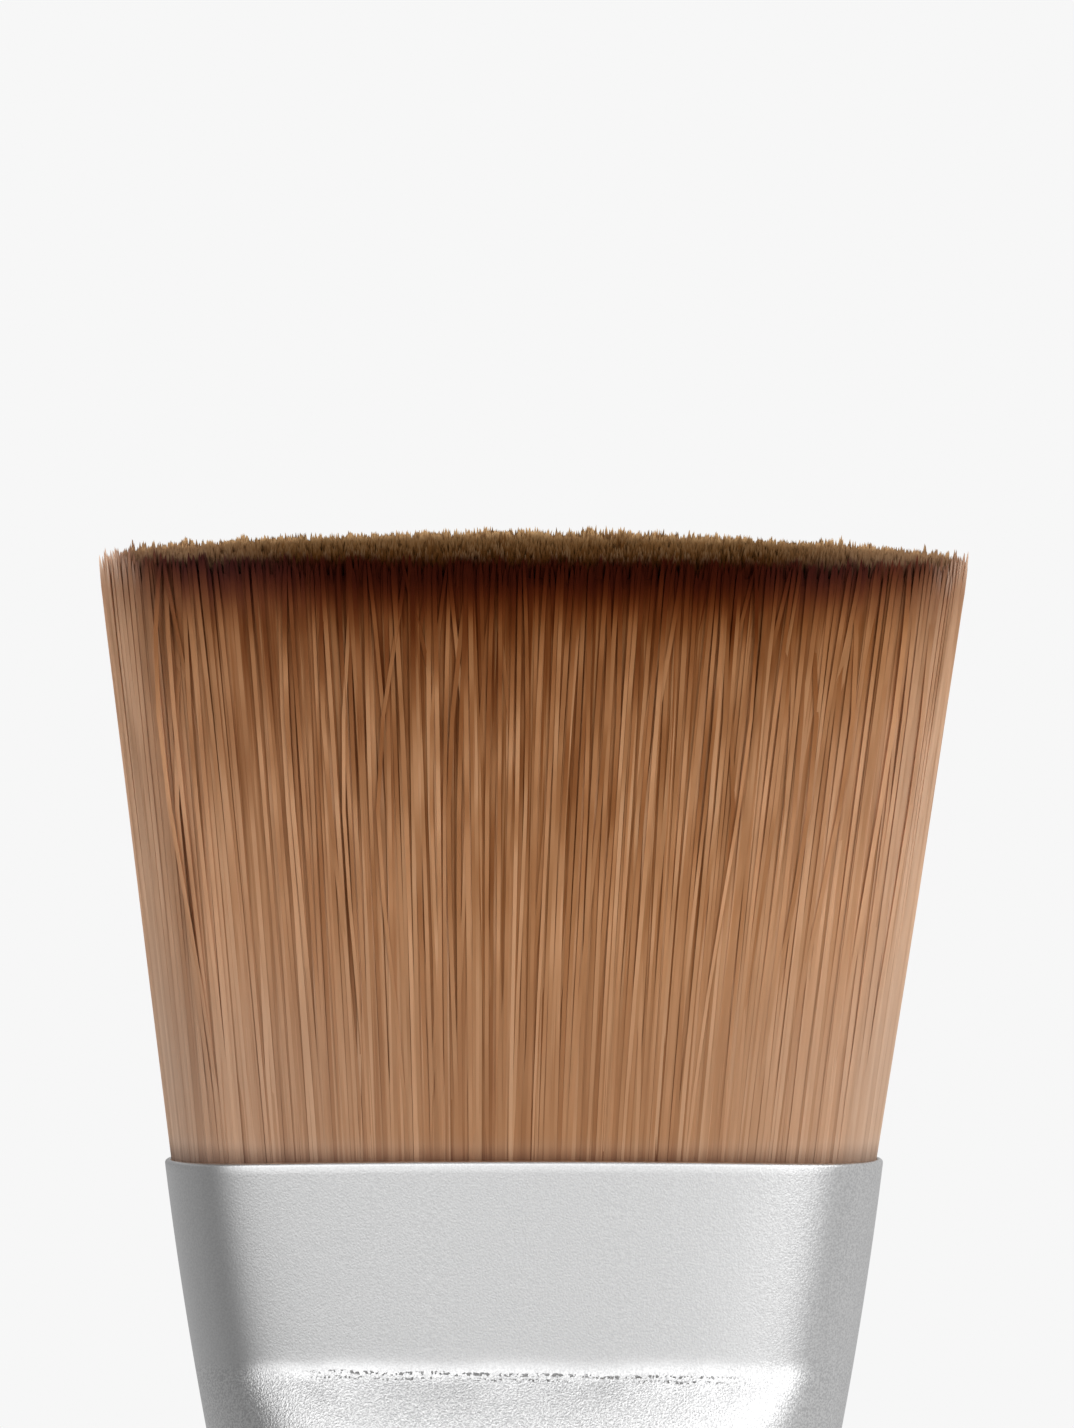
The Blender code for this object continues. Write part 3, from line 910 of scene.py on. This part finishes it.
def strand_brown(strand):
    """The colour along a strand, with a faint tint blended in near the tip, and frayed tips at both ends
    made pale, partly with painted light.
    """
    finish = strand.finish
    brown = finish.node("Gamma", sockets={"Color": (*ROOT_BROWN, 1.0), "Gamma": dye_and_shade_density(strand)})
    # Painted sheen: the brown loses colour, and a little of its lightness
    sheen_loss = sheen_dulling(strand)
    sockets = {"Color": brown, "Saturation": 1 - sheen_loss, "Value": 1 - sheen_loss * 0.3}
    brown = finish.node("HueSaturation", sockets=sockets)
    tip_tint = finish.blend(strand.off_centre.between(0.4, 0.85), TIP_TINT_MIDDLE, TIP_TINT_ENDS)
    brown = finish.blend((1 - strand.down(1.2, 3)) * 0.05, brown, tip_tint)
    # Frayed tips at the two ends are paler: partly their own colour, partly painted light coming through
    # them
    frayed = strand.off_centre.between(0.88, 1.0) * (1 - strand.down(0.2, 1.5))
    pale = 1 - strand.tone.between(-0.1, 0.08)
    frayed = frayed * (0.1 + strand.leftward.between(0.0, 0.5) * 0.2 + pale * 0.5)
    return finish.blend(frayed, brown, FRAYED_COLOR)


def cut_color(strand):
    """The cut tips inside the head: olive, with painted light that makes them paler towards its middle
    and at its ends, and palest where they stand proud.
    """
    finish = strand.finish
    cut = finish.node("ValToRGB", {"stops": CUT_COLORS}, {"Fac": strand.middle})
    cut = finish.blend(strand.off_centre.between(0.5, 1.0) * 0.6, cut, CUT_ENDS_COLOR)
    # Painted light on the tips that stand proud
    proud = strand.proud.between(0.0, 0.25 * MM) * (1 - strand.down(0.0, 0.3))
    proud = proud * (0.15 + strand.middle.between(0.6, 0.85) * 0.5)
    return finish.blend(proud, cut, PROUD_TIP_LIGHT)


def dyed_filament():
    """Brown strands with cut tips, which let some light through and have a faint sheen low down."""
    strand = Strand(new_finish("dyed_filament"))
    finish = strand.finish
    cut = (1 - strand.down(0.3, 0.9)) * (1 - strand.dye.between(1.2 * MM, 3.5 * MM))
    cut = cut * strand.inward.between(0.1 * MM, 0.5 * MM)
    color = finish.blend(cut, strand_brown(strand), cut_color(strand))
    color = finish.tint(color, SHADE_MADE_UP_FOR)
    settings = {
        "Base Color": color,
        "Roughness": 0.55,
        "Specular IOR Level": 0.0,
        "Coat Weight": (0.02 + strand.down(1.0, 5.0) * 0.16) * (1 - strand.deep * 0.9),
        "Coat Roughness": 0.35,
    }
    opaque = finish.node("BsdfPrincipled", sockets=settings)
    through = finish.node("Gamma", sockets={"Color": color, "Gamma": 0.6})
    lit_through = finish.node("BsdfTranslucent", sockets={"Color": through})
    mixed = finish.node("MixShader", sockets={0: LIGHT_THROUGH, 1: opaque, 2: lit_through})
    finish.node("OutputMaterial", sockets={"Surface": mixed})
    return finish.owner


def blasted_aluminium():
    """Fine blasted grain, calmer on the pressed face, with dark grit in dotted rows at the crease."""
    finish = new_finish("blasted_aluminium")
    grain = finish.noise(GRAINS_PER_METRE, 2.0)
    specks = finish.noise(SPECKS_PER_METRE, 1.0)
    x, y, z = finish.axes(finish.place())
    wander = (finish.noise(450.0, 3.0, stretch=(1.0, 0.0, 0.0)) - 0.5) * GRIT_WANDER
    off_line = z - (RIM_HEIGHT - GRIT_DEPTH) + x * GRIT_SLOPE + wander
    first_row = 1 - abs(off_line).between(0.01 * MM, 0.09 * MM)
    second_row = 1 - abs(off_line + GRIT_ROW_GAP).between(0.01 * MM, 0.08 * MM)
    second_row = second_row * finish.noise(350.0).between(0.44, 0.6)
    on_line = first_row.maths("MAXIMUM", first_row, second_row) * (1 - abs(x).between(*GRIT_FADE))
    grit = on_line * finish.noise(GRIT_DOTS_PER_METRE, 1.0).between(0.52, 0.62)
    pressed_face = z.between(*PRESSED_FACE_END)
    coarse = 1.5 - pressed_face * (1.1 - x.between(8 * MM, 12 * MM) * 0.55)
    shade = 0.5 + (grain.between(0.3, 0.7) - 0.5) * coarse
    color = finish.blend(shade, METAL_DARK, METAL_LIGHT)
    color = finish.blend(grit, color, GRIT_GREY)
    bump = finish.relief((grain + specks * 0.5) * coarse - grit * 2, GRAIN_RELIEF)
    return finish.surface(Base_Color=color, Metallic=1.0, Roughness=0.3 + grit * 0.3, Normal=bump)


def black_lacquer():
    """Black lacquer that has sunk a little into the grain of the wood."""
    finish = new_finish("black_lacquer")
    grain = finish.noise(900.0, 4.0, stretch=(1.0, 1.0, 0.04))
    smear = finish.noise(60.0, 3.0)
    color = finish.blend(grain, LACQUER_DARK, LACQUER_LIGHT)
    bump = finish.relief(grain, 0.02 * MM, 0.5)
    rough = 0.12 + smear * 0.12
    return finish.surface(Base_Color=color, Roughness=rough, Specular_IOR_Level=0.3, Normal=bump)


def cast_resin(name, clear, cloudy):
    """Set epoxy: a little cloudy, with small bubbles."""
    finish = new_finish(name)
    cloud = finish.noise(700.0, 4.0)
    where = finish.place()
    cells = finish.node("TexVoronoi", sockets={"Vector": where, "Scale": 2500.0})
    bubbles = 1 - cells.between(0.1, 0.22)
    color = finish.blend(cloud, clear, cloudy)
    color = finish.blend(bubbles * 0.6, color, BUBBLE_COLOR)
    bump = finish.relief(bubbles, 0.03 * MM)
    return finish.surface(Base_Color=color, Roughness=0.22 + cloud * 0.2, Normal=bump)


def finish_hidden_nodes():
    """The plug and the glue keep their solids, with their own finishes."""
    finishes = {
        "root_plug": cast_resin("plug_resin", *PLUG_RESIN),
        "tenon_glue": cast_resin("tenon_glue", *GLUE_RESIN),
    }
    for node, finish in finishes.items():
        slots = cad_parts[node].data.materials
        slots.clear()
        slots.append(finish)


def make_floor():
    """A plain pale floor that keeps the brush's shadow, and fades into the background further out."""
    corners = np.array([[-1, -1, 0], [1, -1, 0], [1, 1, 0], [-1, 1, 0]]) * FLOOR_REACH
    mesh = mesh_of("floor", corners, np.arange(4), np.array([4]))
    floor = bpy.data.objects.new("floor", mesh)
    bpy.context.scene.collection.objects.link(floor)
    finish = new_finish("floor_paint")
    far = finish.node("VectorMath", {"operation": "LENGTH"}, {0: finish.place()}, output=1)
    solid = 1 - far.between(0.3 * FLOOR_REACH, FLOOR_REACH)
    color = finish.blend(finish.noise(3.0), *FLOOR_GREYS)
    floor.data.materials.append(finish.surface(Base_Color=color, Roughness=0.7, Alpha=solid))
    floor.visible_glossy = False


def add_lamp(name, azimuth, elevation, distance, size, power):
    """A square soft lamp that points at the head. Azimuth 0 is the camera's side, and + is its right."""
    turn, rise = math.radians(azimuth), math.radians(elevation)
    aim = Vector((0.0, 0.0, RIM_HEIGHT + AIM_ABOVE_RIM))
    level = math.cos(rise)
    toward = Vector((math.sin(turn) * level, -math.cos(turn) * level, math.sin(rise)))
    lamp = bpy.data.lights.new(name, "AREA")
    lamp.shape = "RECTANGLE"
    lamp.size = lamp.size_y = size
    lamp.energy = power
    holder = bpy.data.objects.new(name, lamp)
    holder.location = aim + toward * distance
    holder.rotation_euler = toward.to_track_quat("Z", "Y").to_euler()
    holder.visible_glossy = False
    bpy.context.scene.collection.objects.link(holder)


def studio_panorama(world):
    """What shiny surfaces reflect: walls by azimuth, a pale front above them, a softbox on the right.

    High up straight ahead the front has a dark hollow. Left of the middle and below that it has a paler
    shelf, and further up it darkens into the ceiling.
    """
    x, y, z = world.axes(world.node("TexCoord"))
    azimuth = x.maths("ARCTAN2", x, 0 - y) * (180 / math.pi)
    elevation = z.maths("ARCSINE", z) * (180 / math.pi)
    rings = []
    for greys in (WALL_GREYS, FRONT_GREYS):
        stops = [((angle + 180) / 360, (grey / BRIGHTEST,) * 3) for angle, grey in greys]
        rings.append(world.node("ValToRGB", {"stops": stops}, {"Fac": (azimuth + 180) / 360}))
    wall, front = rings
    hollow = (1 - abs(azimuth + 1).between(3, 14)) * elevation.between(38.5, 44)
    shelf = elevation.between(22, 28) * (1 - elevation.between(36, 42))
    shelf = shelf * (1 - azimuth.between(-5, 8)) * 0.35
    ceiling = 1 - elevation.between(48, 58) * 0.5
    front = world.tint(front, (1 + shelf) * (1 - hollow) * ceiling)
    room = world.blend(elevation.between(-8, -1.5), wall, front)
    softbox = (1 - abs(azimuth - 38).between(16, 32)) * elevation.between(16, 34)
    softbox = softbox * (1 - elevation.between(50, 60))
    return world.tint(world.blend(softbox, room, SOFTBOX_GREY), BRIGHTEST)


def light_studio():
    """Lamps, a soft glow from all round, a white background, and greys that only reflections see."""
    world = Finish(bpy.data.worlds.new("studio"))
    bpy.context.scene.world = world.owner
    kinds = ("Is Camera Ray", "Is Transmission Ray", "Is Glossy Ray")
    camera, transmission, glossy = world.node("LightPath", output=kinds)
    backdrop = world.node("Background", sockets={"Color": BACKDROP_WHITE, "Strength": 1.0})
    behind = world.axes(world.node("TexCoord"))[1].between(-0.3, 0.5)
    glow = world.blend(behind, AMBIENT_FRONT, AMBIENT_BEHIND)
    ambient = world.node("Background", sockets={"Color": glow, "Strength": 1.0})
    walls = world.node("Background", sockets={"Color": studio_panorama(world), "Strength": 1.0})
    lit = world.node("MixShader", sockets={0: glossy, 1: ambient, 2: walls})
    shown = world.node("MixShader", sockets={0: camera + transmission, 1: lit, 2: backdrop})
    world.node("OutputWorld", sockets={"Surface": shown})
    for lamp in LAMPS:
        add_lamp(*lamp)


def place_camera():
    """The photograph's view: its whole height, at its scale, fills the frame at the brush's distance."""
    view_height = PHOTO_HEIGHT / PIXELS_PER_MM * MM
    distance = view_height * LENS_MM / SENSOR_MM
    aim_x = (PHOTO_WIDTH / 2 - AXIS_PIXEL_X) / PIXELS_PER_MM * MM
    rim_below_middle = (RIM_PIXEL_Y - PHOTO_HEIGHT / 2) / PIXELS_PER_MM * MM
    aim_z = RIM_HEIGHT + rim_below_middle / math.cos(CAMERA_ELEVATION)
    back = Vector((0.0, -math.cos(CAMERA_ELEVATION), math.sin(CAMERA_ELEVATION)))
    lens = bpy.data.cameras.new("camera")
    lens.sensor_width = SENSOR_MM
    lens.lens = LENS_MM
    camera = bpy.data.objects.new("camera", lens)
    camera.location = Vector((aim_x, 0.0, aim_z)) + back * distance
    camera.rotation_euler = back.to_track_quat("Z", "Y").to_euler()
    bpy.context.scene.collection.objects.link(camera)
    bpy.context.scene.camera = camera


bpy.context.scene.view_settings.view_transform = "Standard"
place_camera()
make_ferrule()
make_handle()
make_head()
finish_hidden_nodes()
make_floor()
light_studio()
